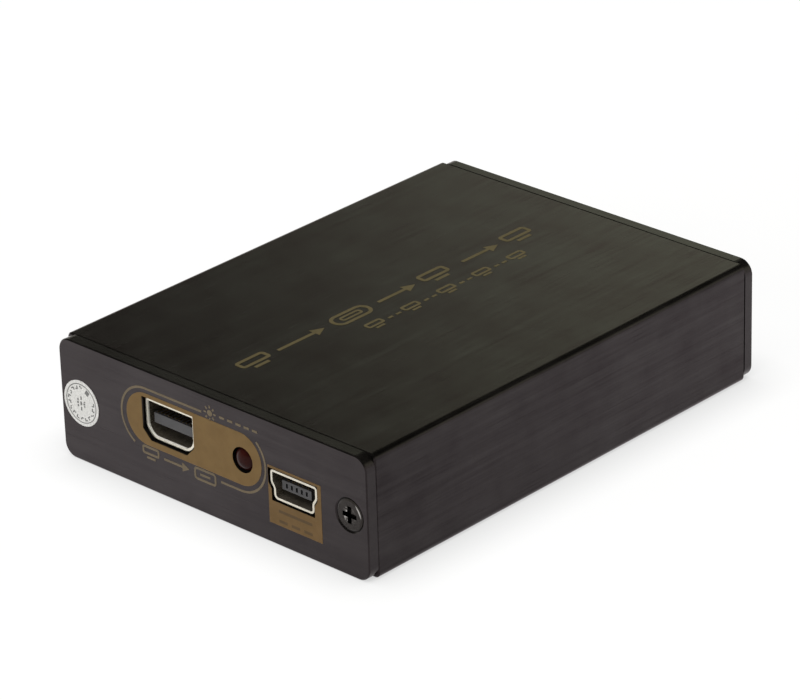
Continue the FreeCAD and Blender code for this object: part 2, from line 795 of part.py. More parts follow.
def make_board():
    """The circuit board, with slots for the shells' tabs and holes for the indicator's leads."""
    body = new_body("circuit_board")
    block(body, "board_blank", ("-(board_half_width)", "-(board_half_length)", "-board_thickness"),
          ("2 * board_half_width", "2 * board_half_length", "board_thickness"))
    slot_width = "shell_wall + 2 * slot_clearance"
    slot_length = "tab_width + 2 * slot_clearance"
    for kind, ending, across, mouth, facing in receptacle_places():
        for end, start in zip(("front", "rear"), tab_starts(kind)):
            middle = f"{mouth} + {facing} * ({start} + tab_width / 2)"
            for hand, sign in (("left", -1), ("right", 1)):
                centre = f"{across} + {sign} * ({kind}_width / 2 - shell_wall / 2)"
                block(body, f"slot_{kind}{ending}_{end}_{hand}",
                      (f"{centre} - ({slot_width}) / 2", f"{middle} - ({slot_length}) / 2",
                       "-board_thickness"),
                      (slot_width, slot_length, "board_thickness"), cut=True)
    lead_place = "led_back - led_lead_width / 2"
    half_hole = "(led_lead_width / 2 + slot_clearance)"
    hole = block(body, "lead_hole",
                 (f"led_place - led_lead_pitch / 2 - {half_hole}", f"{lead_place} - {half_hole}",
                  "-board_thickness"),
                 (f"2 * {half_hole}", f"2 * {half_hole}", "board_thickness"), cut=True)
    row(body, hole, "X_Axis", "2", "led_lead_pitch")
    place(body, ("0", "0", "board_top"))


def make_indicator():
    """The round indicator lamp behind the front plate and its two bent leads."""
    lens = new_body("power_led_lens")
    barrel = "led_length - led_flange_thickness"
    rod(lens, "led_barrel", ("0", "led_dome_height", "0"), "y",
        "led_radius", f"{barrel} - led_dome_height")
    dome = lens.newObject("PartDesign::AdditiveSphere", "led_dome")
    dome.Placement = FreeCAD.Placement(FreeCAD.Vector(), AXIS_TURN["y"])
    dome.Angle1 = -RIGHT_ANGLE
    bind(dome, "Angle2", "-acos(led_radius / led_dome_radius)")
    bind(dome, "Radius", "led_dome_radius")
    place(dome, ("0", "led_dome_radius", "0"))
    rod(lens, "led_flange", ("0", barrel, "0"), "y", "led_flange_diameter / 2", "led_flange_thickness")
    place(lens, ("led_place", "led_front", "board_top + led_height"))
    leads = new_body("power_led_leads", 2)
    half = "led_lead_width / 2"
    tail = "-(led_height + board_thickness + led_lead_tail)"
    bend = outline(leads, "led_lead", "YZ_Plane", [
        ("0", f"-{half}"),
        ("led_lead_reach", f"-{half}"),
        ("led_lead_reach", tail),
        ("led_lead_reach + led_lead_width", tail),
        ("led_lead_reach + led_lead_width", half),
        ("0", half),
    ], "-led_lead_pitch / 2")
    lead = pad(leads, bend, "led_lead_width", both_ways=True)
    row(leads, lead, "X_Axis", "2", "led_lead_pitch")
    place(leads, ("led_place", "led_front + led_length", "board_top + led_height"))


def make_package(name, length, width, thickness, centre, marked=True):
    """A moulded chip package with a bevelled top and, if marked, a dimple by its first lead."""
    body = new_body(name)
    case = block(body, f"{name}_case", (f"-{length} / 2", f"-{width} / 2", "package_standoff"),
                 (length, width, thickness))
    doc.recompute()
    top = value(f"package_standoff + {thickness}")
    case = bevel_edges(body, case, "package_bevel",
                       lambda edge: edge.BoundBox.ZMin > top - LENGTH_TOLERANCE)
    if marked:
        rod(body, f"{name}_mark",
            (f"-{length} / 2 + package_dimple_inset", f"-{width} / 2 + package_dimple_inset",
             f"package_standoff + {thickness} - package_dimple_depth"), "z",
            "package_dimple_diameter / 2", "package_dimple_depth", cut=True)
    place(body, centre + ("board_top",))


def lead_outline(edge_place, thickness):
    """The side view of a bent lead that leaves a package at a given place."""
    exit_height = f"package_standoff + {thickness} / 2 - lead_thickness / 2"
    toe = f"{edge_place} + lead_reach"
    heel = f"{toe} - lead_foot"
    return [
        (edge_place, exit_height),
        (heel, "0"),
        (toe, "0"),
        (toe, "lead_thickness"),
        (f"{heel} + lead_thickness / 2", "lead_thickness"),
        (edge_place, f"{exit_height} + lead_thickness"),
    ]


def pad_outline(edge_place, length):
    """The side view of a flat pad under the edge of a leadless package."""
    return [
        (f"{edge_place} - {length}", "0"),
        (edge_place, "0"),
        (edge_place, "package_standoff"),
        (f"{edge_place} - {length}", "package_standoff"),
    ]


def make_leads(name, key, sides, side_points, centre):
    """The leads or pads of a package, in even rows on two or four of its sides."""
    count = f"{key}_lead_count"
    pitch = f"{key}_lead_pitch"
    body = new_body(name, sides * round(value(count)))
    side_view = outline(body, f"{name}_lead", "YZ_Plane", side_points, f"-({count} - 1) * {pitch} / 2")
    lead = pad(body, side_view, f"{key}_lead_width", both_ways=True)
    rows = body.newObject("PartDesign::MultiTransform", f"{name}_rows")
    rows.Originals = [lead]
    line = doc.addObject("PartDesign::LinearPattern", f"{name}_line")
    line.Direction = (origin_feature(body, "X_Axis"), [""])
    bind(line, "Length", f"({count} - 1) * {pitch}")
    bind(line, "Occurrences", count)
    turn = doc.addObject("PartDesign::PolarPattern", f"{name}_turn")
    turn.Axis = (origin_feature(body, "Z_Axis"), [""])
    turn.Angle = FULL_TURN
    turn.Occurrences = sides
    body.addObject(line)
    body.addObject(turn)
    rows.Transformations = [line, turn]
    body.Tip = rows
    place(body, centre + ("board_top",))


def make_chips():
    """The packages on the board and their leads."""
    converter = ("video_in_place", "converter_centre")
    splitter = ("0", "splitter_centre")
    memory = ("power_in_place", "memory_centre")
    make_package("converter_chip", "converter_size", "converter_size", "converter_thickness", converter)
    make_leads("converter_chip_leads", "converter", 4,
               lead_outline("converter_size / 2", "converter_thickness"), converter)
    make_package("splitter_chip", "splitter_size", "splitter_size", "splitter_thickness", splitter,
                 marked=False)
    make_leads("splitter_chip_leads", "splitter", 4,
               pad_outline("splitter_size / 2", "splitter_pad_length"), splitter)
    make_package("memory_chip", "memory_length", "memory_width", "memory_thickness", memory, marked=False)
    make_leads("memory_chip_leads", "memory", 2,
               lead_outline("memory_width / 2", "memory_thickness"), memory)


def make_regulator():
    """The voltage regulator: three leads towards the power input and a wide tab behind."""
    centre = ("power_in_place", "regulator_centre")
    make_package("voltage_regulator", "regulator_length", "regulator_width",
                 "regulator_thickness", centre, marked=False)
    body = new_body("voltage_regulator_leads", round(value("regulator_lead_count")) + 1)
    points = lead_outline("regulator_width / 2", "regulator_thickness")
    front = [(f"-({along})", up) for along, up in points]
    side_view = outline(body, "regulator_lead", "YZ_Plane", front,
                        "-(regulator_lead_count - 1) * regulator_lead_pitch / 2")
    lead = pad(body, side_view, "regulator_lead_width", both_ways=True)
    row(body, lead, "X_Axis", "regulator_lead_count", "regulator_lead_pitch")
    tab_view = outline(body, "regulator_tab", "YZ_Plane", points)
    pad(body, tab_view, "regulator_tab_width", both_ways=True)
    place(body, centre + ("board_top",))


def make_inductor():
    """The shielded power inductor: a rounded square drum with a raised core."""
    body = new_body("power_inductor")
    drum = block(body, "inductor_drum", ("-inductor_size / 2", "-inductor_size / 2", "0"),
                 ("inductor_size", "inductor_size", "inductor_height"))
    round_edges(body, drum, "inductor_corner_radius", upright_edge)
    rod(body, "inductor_core", ("0", "0", "inductor_height"), "z",
        "inductor_core_diameter / 2", "inductor_core_rise")
    place(body, ("power_in_place", "inductor_centre", "board_top"))


def make_capacitors():
    """The upright capacitors: a plastic base and a metal can for each."""
    count = round(value("can_count"))
    bases = new_body("capacitor_bases", count)
    base = block(bases, "can_base", ("-can_base_size / 2", "-can_base_size / 2", "0"),
                 ("can_base_size", "can_base_size", "can_base_thickness"))
    row(bases, base, "Y_Axis", "can_count", "can_pitch")
    cans = new_body("capacitor_cans", count)
    can = rod(cans, "can", ("0", "0", "can_base_thickness"), "z",
              "can_diameter / 2", "can_height - can_base_thickness")
    row(cans, can, "Y_Axis", "can_count", "can_pitch")
    for body in (bases, cans):
        place(body, ("led_place", "can_centre", "board_top"))


def make_crystal():
    """The metal can of the crystal, with round ends."""
    body = new_body("crystal_can")
    straight = "crystal_length - crystal_width"
    block(body, "crystal_middle", ("-crystal_width / 2", f"-({straight}) / 2", "0"),
          ("crystal_width", straight, "crystal_height"))
    for end, sign in (("front", -1), ("rear", 1)):
        rod(body, f"crystal_{end}", ("0", f"{sign} * ({straight}) / 2", "0"), "z",
            "crystal_width / 2", "crystal_height")
    place(body, ("crystal_place", "crystal_centre", "board_top"))


def make_small_parts():
    """Surge arrays and resistors before each output, and ceramic capacitors by the splitter."""
    for name, key, length, width, centre in (
        ("surge_arrays", "array", "array_length", "array_width", "array_centre"),
        ("chip_resistors", "resistor", "resistor_width", "resistor_length", "resistor_centre"),
    ):
        count = f"{key}_count"
        body = new_body(name, 2 * round(value(count)))
        for side, sign in (("left", -1), ("right", 1)):
            first = f"{sign} * (video_out_place) - ({count} - 1) * {key}_pitch / 2 - {length} / 2"
            chip = block(body, f"{key}_{side}", (first, f"-{width} / 2", "0"),
                         (length, width, f"{key}_thickness"))
            row(body, chip, "X_Axis", count, f"{key}_pitch")
        place(body, ("0", centre, "board_top"))
    body = new_body("ceramic_capacitors", 2 * round(value("ceramic_count")))
    for side, low_x in (("left", "-ceramic_reach"), ("right", "ceramic_reach - ceramic_length")):
        chip = block(body, f"ceramic_{side}",
                     (low_x, "-(ceramic_count - 1) * ceramic_pitch / 2 - ceramic_width / 2", "0"),
                     ("ceramic_length", "ceramic_width", "ceramic_thickness"))
        row(body, chip, "Y_Axis", "ceramic_count", "ceramic_pitch")
    place(body, ("0", "splitter_centre", "board_top"))


def check_model():
    """Stop with a message if any object failed or any sub-part isn't what it should be."""
    doc.recompute()
    for item in doc.Objects:
        if "Invalid" in item.State or "Error" in item.State:
            raise RuntimeError(f"{item.Name} is {item.State}")
    for name, (body, solids) in sub_parts.items():
        shape = body.Shape
        if shape.isNull() or not shape.isValid():
            raise RuntimeError(f"{name} has no valid shape")
        if len(shape.Solids) != solids:
            raise RuntimeError(f"{name} has {len(shape.Solids)} solids, not {solids}")


def write_parts():
    """Write each sub-part to a file of its own."""
    os.makedirs("parts", exist_ok=True)
    for name, (body, solids) in sub_parts.items():
        body.Shape.exportStep(f"parts/{name}.step")


fill_sheet()
make_housing()
make_plates()
make_screws("front_screws", "front_face + screw_head_sink", 1)
make_screws("rear_screws", "rear_face - screw_head_sink", -1)
make_sticker()
make_board()
make_receptacles()
make_indicator()
make_chips()
make_regulator()
make_inductor()
make_capacitors()
make_crystal()
make_small_parts()
check_model()
write_parts()
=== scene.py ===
"""The looks of a small black video splitter box: its finishes, its printed marks and the studio."""

import math

import bmesh
import bpy
from mathutils import Matrix, Vector


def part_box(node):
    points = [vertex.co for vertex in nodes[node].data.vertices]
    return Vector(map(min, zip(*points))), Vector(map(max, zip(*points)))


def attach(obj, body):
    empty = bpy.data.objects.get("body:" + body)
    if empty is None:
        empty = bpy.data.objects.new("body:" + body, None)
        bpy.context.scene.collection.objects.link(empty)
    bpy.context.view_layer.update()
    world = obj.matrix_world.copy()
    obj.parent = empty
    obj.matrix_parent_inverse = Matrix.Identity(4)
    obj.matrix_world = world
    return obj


MM = 0.001
QUARTER_TURN = math.pi / 2
FULL_TURN = 2 * math.pi

# The photograph's camera, in metres from the middle of the underside
VIEW_AZIMUTH = math.radians(43.78)
VIEW_ELEVATION = math.radians(25.88)
VIEW_ROLL = math.radians(-1.794)
VIEW_DISTANCE = 0.5227
VIEW_TARGET = Vector((-2.259, 0.332, 8.083)) * MM
VIEW_LENS = 191.24
VIEW_NEAR = 0.01
VIEW_FAR = 20
SENSOR_WIDTH = 36.0

# How deep the painted highlight on the lip in the mouth of each stamped shell reaches, in millimetres
SHELL_LIP_HIGHLIGHTS = {
    "video_in_shell": 0.29,
    "power_in_shell": 0.02,
    "video_out_shell_left": 0.25,
    "video_out_shell_right": 0.25,
}

# Gold print on the front plate, in millimetres from its middle and from the floor
PRINT_THICKNESS = 0.02
PILL_LEFT = -14.0
PILL_RIGHT = 8.6
PILL_BOTTOM = 6.05
PILL_TOP = 12.95
RING_LEFT = -15.0
RING_RIGHT = 9.4
RING_BOTTOM = 5.1
RING_TOP = 13.75
RING_LINE = 0.29
RING_TOP_END = -1.05
RING_BOTTOM_START = 1.7
RING_RESTART = math.radians(48)
RING_STOP = math.radians(239)
PANEL_LEFT = 9.6
PANEL_RIGHT = 18.15
PANEL_BOTTOM = 2.72
PANEL_TOP = 10.25
# The sign on the field round the power input
SIGN_UP = 3.8
SIGN_WIDTH = 5.4
SIGN_GAP = 1.3
SIGN_LINE = 0.38
SIGN_DASHES = 3
# The foot of a printed screen, as a share of its height, and its corners, in line widths
SCREEN_FOOT = 0.32
SCREEN_CORNERS = 1.2
# The marks in the gap at the top of the ring
SYMBOL_LINE = 0.30
LAMP_ACROSS = 0.35
LAMP_UP = 13.85
LAMP_RADIUS = 0.42
LAMP_RAYS = 8
LAMP_RAY_ENDS = (0.62, 0.98)
LAMP_RAY_LINE = SYMBOL_LINE * 0.75
LAMP_DASHES = 5
LAMP_DASH_START = 1.9
LAMP_DASH_STEP = 1.35
LAMP_DASH_LENGTH = 0.85
# The marks in the gap at the bottom of the ring, each from left to right
INPUT_UP = 5.08
INPUT_HALF_HEIGHT = 0.85
INPUT_SCREEN_LEFT = -11.6
INPUT_SCREEN_WIDTH = 2.9
INPUT_ARROW = (-7.9, -3.6)
INPUT_ARROW_HEAD = 1.2
INPUT_BOX = (-2.8, 0.9)
INPUT_BOX_RADIUS = 0.5
INPUT_SLOT = (-1.8, -0.1)

# Gold print on the top, in millimetres: along the box, and across it
TITLE_START = -27.0
TITLE_TOP = -3.5
TITLE_HEIGHT = 2.8
TITLE_LINE = 0.50
TITLE_SCREEN_WIDTH = 4.8
TITLE_ARROW_HEAD = 1.8
# From the start of the title
TITLE_ARROW = (6.2, 14.2)
TITLE_BOX_START = 15.6
TITLE_BOX_WIDTH = 6.4
TITLE_BOX_RADIUS = 1.35
# From the left of its box
TITLE_CORE = (1.4, 5.0)
TITLE_CORE_HALF_HEIGHT = 0.55
TITLE_CORE_RADIUS = 0.5
TITLE_CORE_LINE = TITLE_LINE * 0.7
TITLE_OUTPUTS = 2
TITLE_OUTPUT_START = 8.0
TITLE_OUTPUT_STEP = 15.2
TITLE_OUTPUT_ARROW = 6.6
TITLE_OUTPUT_SCREEN = 7.9
NOTE_START = -9.5
NOTE_END = 19.0
NOTE_TOP = 1.0
NOTE_HEIGHT = 1.9
NOTE_LINE = 0.38
NOTE_SCREENS = 5
NOTE_SCREEN_WIDTH = 2.9
NOTE_DASH_STARTS = (0.7, 2.1)
NOTE_DASH_LENGTH = 0.8

# Print on the seal sticker, in millimetres unless it is called a share
SEAL_RING_SHARE = 0.87
SEAL_RING_LINE = 0.10
SEAL_RING_STEPS = 48
SEAL_SPOT_SHARE = 0.77
SEAL_SPOT_TURN = math.radians(56)
SEAL_SPOT_SIZE = (0.62, 0.60)
SEAL_DIAL_MARKS = 15
SEAL_DIAL_START = 86
SEAL_DIAL_STEP = 20
SEAL_DIAL_SHARE = 0.80
SEAL_DIAL_LONG = 0.42
SEAL_DIAL_SHORT = 0.20
SEAL_DIAL_LINE = 0.15
SEAL_TICK_SHARES = (0.86, 0.74)
SEAL_TICK_TURN = 0.11
SEAL_TICK_SIZE = (0.15, 0.26)
SEAL_COLUMNS = (1.1, 1.9, 0.8)
SEAL_COLUMN_STEP = 0.55
SEAL_COLUMN_DASHES = 3
SEAL_DASH_HALF_WIDTH = 0.10
SEAL_DASH_EXTRA = 0.06

# Light: the lamps, in metres, and the strengths of the surround and the floor
KEY_PLACE = (0.10, -0.30, 1.25)
KEY_SIZE = (1.3, 1.3)
KEY_POWER = 18.0
FILL_PLACE = (-0.15, -1.15, 0.42)
FILL_SIZE = (0.9, 0.6)
FILL_POWER = 8.3
LAMP_COLOUR = (1.0, 0.995, 0.985)
WHITE = (1.0, 1.0, 1.0)
SCREEN_COLOUR = (0.94, 1.03, 0.73)
LOW_COLOUR = (0.95, 0.95, 0.85)
SURROUND_BRIGHT = 0.88
SURROUND_DIM = 0.01
# The surround is bright below these heights, as sines of the angle above the floor
LOW_BAND = (0.20, 0.36)
SCREEN_BAND = (0.40, 0.56)
# The screen fills the side of the surround that this direction points to
SCREEN_SIDE = (0.68, 0.73, 0.0)
SCREEN_EDGE = (-0.06, 0.16)
FLOOR_RADIUS = 4.0
FLOOR_SEGMENTS = 96
# The floor lies a hair below the box, so that no two faces share a plane
FLOOR_GAP = 0.02 * MM
# The floor's own colour, to the light that it throws back and to the camera
FLOOR_SHADE = 0.42
FLOOR_SHADE_VARIES = 0.005
FLOOR_SHADE_SEEN = 0.13
# What the camera sees added to it near the box and far from it
FLOOR_SEEN = (0.87, 1.0)
FLOOR_SEEN_FROM = (0.06, 1.4)
# The soft shadow all round the foot of the box: how far it reaches and how much it takes away
CONTACT_REACH = 7 * MM
CONTACT_DEPTH = 0.36
# What gloss sees of the floor, from left to right, and what is added to it from front to rear
FLOOR_MIRRORED = (0.73, 0.325)
FLOOR_MIRRORED_FROM = (-0.010, 0.034)
FLOOR_REAR_ADDED = (0.0, 0.30)
FLOOR_REAR_FROM = (-0.035, 0.045)

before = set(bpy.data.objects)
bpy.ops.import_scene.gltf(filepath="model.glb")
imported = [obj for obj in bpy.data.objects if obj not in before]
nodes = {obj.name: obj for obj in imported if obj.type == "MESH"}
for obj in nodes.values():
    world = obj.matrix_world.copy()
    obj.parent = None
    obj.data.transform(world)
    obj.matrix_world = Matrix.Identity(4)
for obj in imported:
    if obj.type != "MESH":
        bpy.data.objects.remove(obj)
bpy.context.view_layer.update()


# Shaders

class Nodes:
    """A node tree that is filled node by node."""

    def __init__(self, tree):
        self.tree = tree
        self.tree.nodes.clear()

    def add(self, kind, inputs=None, **attributes):
        """Add a node, with its inputs set to values or linked to other nodes' outputs."""
        node = self.tree.nodes.new(kind)
        for name, value in attributes.items():
            setattr(node, name, value)
        for name, value in (inputs or {}).items():
            self.feed(node.inputs[name], value)
        return node

    def feed(self, socket, value):
        """Set an input to a value or link it to an output."""
        if isinstance(value, bpy.types.NodeSocket):
            self.tree.links.new(value, socket)
        elif isinstance(value, tuple) and socket.type == "RGBA" and len(value) == 3:
            socket.default_value = (*value, 1.0)
        else:
            socket.default_value = value

    def calculate(self, operation, first, second):
        """One step of arithmetic on two numbers."""
        return self.add("ShaderNodeMath", {0: first, 1: second}, operation=operation).outputs[0]

    def plus(self, first, second):
        """Two numbers added."""
        return self.calculate("ADD", first, second)

    def times(self, first, second):
        """Two numbers multiplied."""
        return self.calculate("MULTIPLY", first, second)

    def larger(self, first, second):
        """The larger of two numbers."""
        return self.calculate("MAXIMUM", first, second)

    def size_of(self, value):
        """A number without its sign."""
        return self.calculate("ABSOLUTE", value, 0.0)

    def parts(self, vector):
        """The X, Y and Z of a vector."""
        return self.add("ShaderNodeSeparateXYZ", {"Vector": vector}).outputs

    def vector(self, x, y, z):
        """A vector from its X, Y and Z."""
        return self.add("ShaderNodeCombineXYZ", {"X": x, "Y": y, "Z": z}).outputs[0]

    def length(self, vector):
        """The length of a vector."""
        return self.add("ShaderNodeVectorMath", {0: vector}, operation="LENGTH").outputs["Value"]

    def dot(self, first, second):
        """How far one vector reaches along another."""
        made = self.add("ShaderNodeVectorMath", {0: first, 1: second}, operation="DOT_PRODUCT")
        return made.outputs["Value"]

    def blend(self, factor, first, second):
        """A colour between two others."""
        made = self.add("ShaderNodeMix", data_type="RGBA")
        self.feed(made.inputs["Factor"], factor)
        self.feed(made.inputs[6], first)
        self.feed(made.inputs[7], second)
        return made.outputs[2]

    def slide(self, source, start, end, low=0.0, high=1.0):
        """A number that goes smoothly from low to high as the source goes from start to end."""
        made = self.add("ShaderNodeMapRange", {
            "Value": source, "From Min": start, "From Max": end, "To Min": low, "To Max": high},
            interpolation_type="SMOOTHSTEP")
        return made.outputs["Result"]

    def spread(self, source, low, high, start=0.3, end=0.7):
        """A number that goes evenly from low to high as the source goes from start to end."""
        made = self.add("ShaderNodeMapRange", {
            "Value": source, "From Min": start, "From Max": end, "To Min": low, "To Max": high})
        return made.outputs["Result"]

    def tint(self, source, low, high, start=0.3, end=0.7):
        """A colour that goes evenly from low to high as the source goes from start to end."""
        return self.blend(self.spread(source, 0.0, 1.0, start, end), low, high)


class Paint(Nodes):
    """A procedural material: one Principled surface and the nodes that feed it."""

    def __init__(self, name, **surface):
        self.material = bpy.data.materials.new(name)
        self.material.use_nodes = True
        super().__init__(self.material.node_tree)
        output = self.add("ShaderNodeOutputMaterial")
        self.surface = self.add("ShaderNodeBsdfPrincipled", surface)
        self.tree.links.new(self.surface.outputs[0], output.inputs["Surface"])
        self.place = self.add("ShaderNodeTexCoord").outputs["Object"]

    def noise(self, size, detail=3.0, roughness=0.55, stretch=(1, 1, 1)):
        """Noise whose features have a size in millimetres, stretched along the axes."""
        scale = tuple(1 / (size * MM * factor) for factor in stretch)
        mapped = self.add("ShaderNodeMapping", {"Vector": self.place, "Scale": scale})
        made = self.add("ShaderNodeTexNoise", {
            "Vector": mapped.outputs[0], "Scale": 1.0, "Detail": detail, "Roughness": roughness})
        return made.outputs["Fac"]

    def from_axis(self, centre, both_sides=False):
        """Where a point lies from a lengthwise axis: across and up."""
        place = self.parts(self.place)
        side = self.size_of(place["X"]) if both_sides else place["X"]
        return (self.calculate("SUBTRACT", side, centre[0]),
                self.calculate("SUBTRACT", place["Z"], centre[1]))

    def bump(self, source, depth, strength=1.0, beneath=None):
        """Raise the surface by the source, to a depth in millimetres."""
        inputs = {"Height": source, "Distance": depth * MM, "Strength": strength}
        if beneath is not None:
            inputs["Normal"] = beneath
        return self.add("ShaderNodeBump", inputs).outputs[0]

    def set(self, **inputs):
        """Feed the surface's own inputs, whose names have underscores for spaces."""
        for name, value in inputs.items():
            self.feed(self.surface.inputs[name.replace("_", " ")], value)
        return self.material


def middle_of(low, high):
    """The lengthwise axis of a box, from its corners: across and up."""
    return (low.x + high.x) / 2, (low.z + high.z) / 2


def anodised(name, stretch, contrast):
    """Black anodised aluminium, brushed along the axis with the large stretch."""
    paint = Paint(name, **{"Specular IOR Level": 0.37, "Specular Tint": (1.0, 0.80, 0.87, 1.0)})
    hairs = paint.noise(0.16, 4.0, 0.7, stretch)
    streaks = paint.noise(0.8, 3.0, 0.6, stretch)
    clouds = paint.noise(6.0, 3.0, 0.6)
    grain = paint.noise(0.09, 2.0, 0.6)
    brushed = paint.plus(paint.times(hairs, 0.6), paint.times(streaks, 0.4))
    dye = paint.plus(paint.times(brushed, 0.7), paint.times(clouds, 0.3))
    dye_range = (0.36, 0.64)
    fine = paint.bump(hairs, 0.008 * contrast, 0.4)
    broad = paint.bump(clouds, 0.010, 0.3, fine)
    return paint.set(
        Base_Color=paint.tint(dye, (0.0098, 0.0086, 0.0080), (0.0010, 0.0009, 0.0008), *dye_range),
        Metallic=paint.spread(dye, 0.0, 0.54 * contrast, *dye_range),
        Roughness=paint.spread(hairs, 0.20, 0.28),
        Normal=paint.bump(grain, 0.0010, 0.4, broad))


def gold_ink(name, low, high):
    """Screen-printed gold ink: slightly uneven, with a dull metallic sheen."""
    paint = Paint(name, Metallic=0.15, **{"Specular IOR Level": 0.27})
    patches = paint.noise(1.6, 3.0)
    grain = paint.noise(0.08, 2.0)
    return paint.set(
        Base_Color=paint.tint(patches, low, high),
        Roughness=paint.spread(grain, 0.42, 0.56),
        Normal=paint.bump(grain, 0.003, 0.5))


def plated(name, low, high, rough_low, rough_high):
    """Plated or drawn metal with rolling marks along the box and faint blotches."""
    paint = Paint(name, Metallic=1.0)
    rolled = paint.noise(0.12, 3.0, 0.6, (1, 12, 1))
    blotches = paint.noise(1.2, 2.0)
    return paint.set(
        Base_Color=paint.tint(blotches, low, high),
        Roughness=paint.spread(rolled, rough_low, rough_high),
        Normal=paint.bump(rolled, 0.002, 0.4))


def moulded(name, low, high, rough=0.45, size=0.15, depth=0.003):
    """Moulded plastic, pressed powder or dull ink, with a fine grain."""
    paint = Paint(name)
    grain = paint.noise(size, 3.0)
    patches = paint.noise(size * 12, 2.0)
    return paint.set(
        Base_Color=paint.tint(patches, low, high),
        Roughness=paint.spread(grain, rough - 0.06, rough + 0.06),
        Normal=paint.bump(grain, depth, 0.6))


def stamped_shell(name, lip):
    """Plated sheet steel: dull on its rolled faces and bright where it was cut, with a painted highlight,
    near-white and hardly metallic, on the lip inside its mouth.
    """
    paint = Paint(name + "_plating")
    low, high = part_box(name)
    mouth = max(-low.y, high.y)
    rolled = paint.noise(0.12, 3.0, 0.6, (1, 12, 1))
    blotches = paint.noise(1.2, 2.0)
    normal = paint.add("ShaderNodeTexCoord").outputs["Normal"]
    cut_edge = paint.slide(paint.size_of(paint.parts(normal)["Y"]), 0.8, 0.95)
    # The lip's painted highlight: faces that look inwards, and no deeper in the mouth than the lip
    across, up = paint.from_axis(middle_of(low, high))
    inner = paint.slide(paint.dot(normal, paint.vector(across, 0.0, up)), -0.5 * MM, 0.0, 1.0, 0.0)
    along = paint.size_of(paint.parts(paint.place)["Y"])
    lip_highlight = paint.times(inner, paint.slide(along, mouth - 1.2 * lip, mouth - 0.8 * lip))
    sheet = paint.tint(blotches, (0.28, 0.24, 0.19), (0.38, 0.33, 0.27))
    bright = paint.tint(blotches, (0.60, 0.56, 0.48), (0.70, 0.66, 0.57))
    rounding = paint.add("ShaderNodeBevel", {"Radius": 0.08 * MM}, samples=6).outputs[0]
    return paint.set(
        Base_Color=paint.blend(lip_highlight, paint.blend(cut_edge, sheet, bright), (0.88, 0.85, 0.79)),
        Metallic=paint.spread(lip_highlight, 0.86, 0.05, 0.0, 1.0),
        Roughness=paint.spread(rolled, 0.25, 0.33),
        Normal=paint.bump(rolled, 0.0015, 0.25, rounding))


def blackened_steel():
    """Black oxide on the screws, with bare-metal chips by the recess that partly stand in for glints, a
    painted glint on one side of the rim and painted shade in the groove round the head.
    """
    paint = Paint("blackened_steel", Metallic=1.0)
    low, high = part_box("front_screws")
    radius = (high.z - low.z) / 2
    across, up = paint.from_axis((high.x - radius, (low.z + high.z) / 2), both_sides=True)
    reach = paint.length(paint.vector(across, up, 0.0))

    def over_radius(source, start, end, low_value=0.0, high_value=1.0):
        """A smooth step between two shares of the head's radius."""
        return paint.slide(source, radius * start, radius * end, low_value, high_value)

    # A painted glint: a bright arc inside the rim, on one upper side of the head
    aside = paint.plus(paint.times(across, 0.87), paint.times(up, 0.5))
    ring = paint.times(over_radius(reach, 0.74, 0.79), over_radius(reach, 0.84, 0.89, 1.0, 0.0))
    painted_glint = paint.times(ring, over_radius(aside, 0.73, 0.80, 0.0, 0.8))
    # Chips of bare metal round the recess, no deeper than the face of the head, stronger on one side,
    # where they also stand in for glints: partly wear, partly painted highlight
    along = paint.size_of(paint.parts(paint.place)["Y"])
    flush = paint.slide(along, -low.y - 0.45 * MM, -low.y - 0.05 * MM)
    near_recess = paint.times(over_radius(reach, 0.38, 0.58, 1.0, 0.0),
                              over_radius(across, -0.30, -0.05, 1.0, 0.15))
    worn = paint.slide(paint.noise(0.22, 3.0, 0.6), 0.50, 0.60, 0.0, 0.9)
    chips_and_glints = paint.times(paint.times(near_recess, flush), worn)
    # Painted shade: a near-black ring in the groove between the head and the plate
    groove_shade = over_radius(reach, 0.945, 0.975)
    pits = paint.noise(0.16, 3.0, 0.6)
    black = paint.tint(pits, (0.024, 0.021, 0.020), (0.050, 0.044, 0.041))
    rimmed = paint.blend(groove_shade, black, (0.004, 0.0035, 0.003))
    return paint.set(
        Base_Color=paint.blend(paint.larger(painted_glint, chips_and_glints), rimmed, (0.52, 0.50, 0.48)),
        Roughness=paint.spread(pits, 0.24, 0.40),
        Normal=paint.bump(pits, 0.014, 0.7))


def lamp_resin():
    """Dark red clear resin, glossy at the surface, with painted shade round its edge."""
    paint = Paint("lamp_resin", **{"Specular IOR Level": 0.07})
    low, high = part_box("power_led_lens")
    radius = (high.x - low.x) / 2
    across, up = paint.from_axis(middle_of(low, high))
    reach = paint.length(paint.vector(across, up, 0.0))
    # Painted shade round the rim of the lens: darker red, and metallic so that its reflection is dimmed
    edge = paint.slide(reach, radius * 0.66, radius * 0.84)
    depth = paint.noise(1.5, 2.0)
    red = paint.tint(depth, (0.017, 0.0035, 0.0030), (0.026, 0.0055, 0.0045))
    return paint.set(
        Base_Color=paint.blend(edge, red, (0.010, 0.0015, 0.0008)),
        Metallic=paint.times(edge, 0.9),
        Roughness=paint.spread(depth, 0.08, 0.14))


def seal_vinyl():
    """Off-white printed vinyl with a faint speckle."""
    paint = Paint("seal_vinyl")
    speckle = paint.noise(0.18, 3.0, 0.6)
    return paint.set(
        Base_Color=paint.tint(speckle, (0.475, 0.468, 0.458), (0.728, 0.720, 0.712)),
        Roughness=paint.spread(speckle, 0.38, 0.5),
        Normal=paint.bump(speckle, 0.004, 0.4))


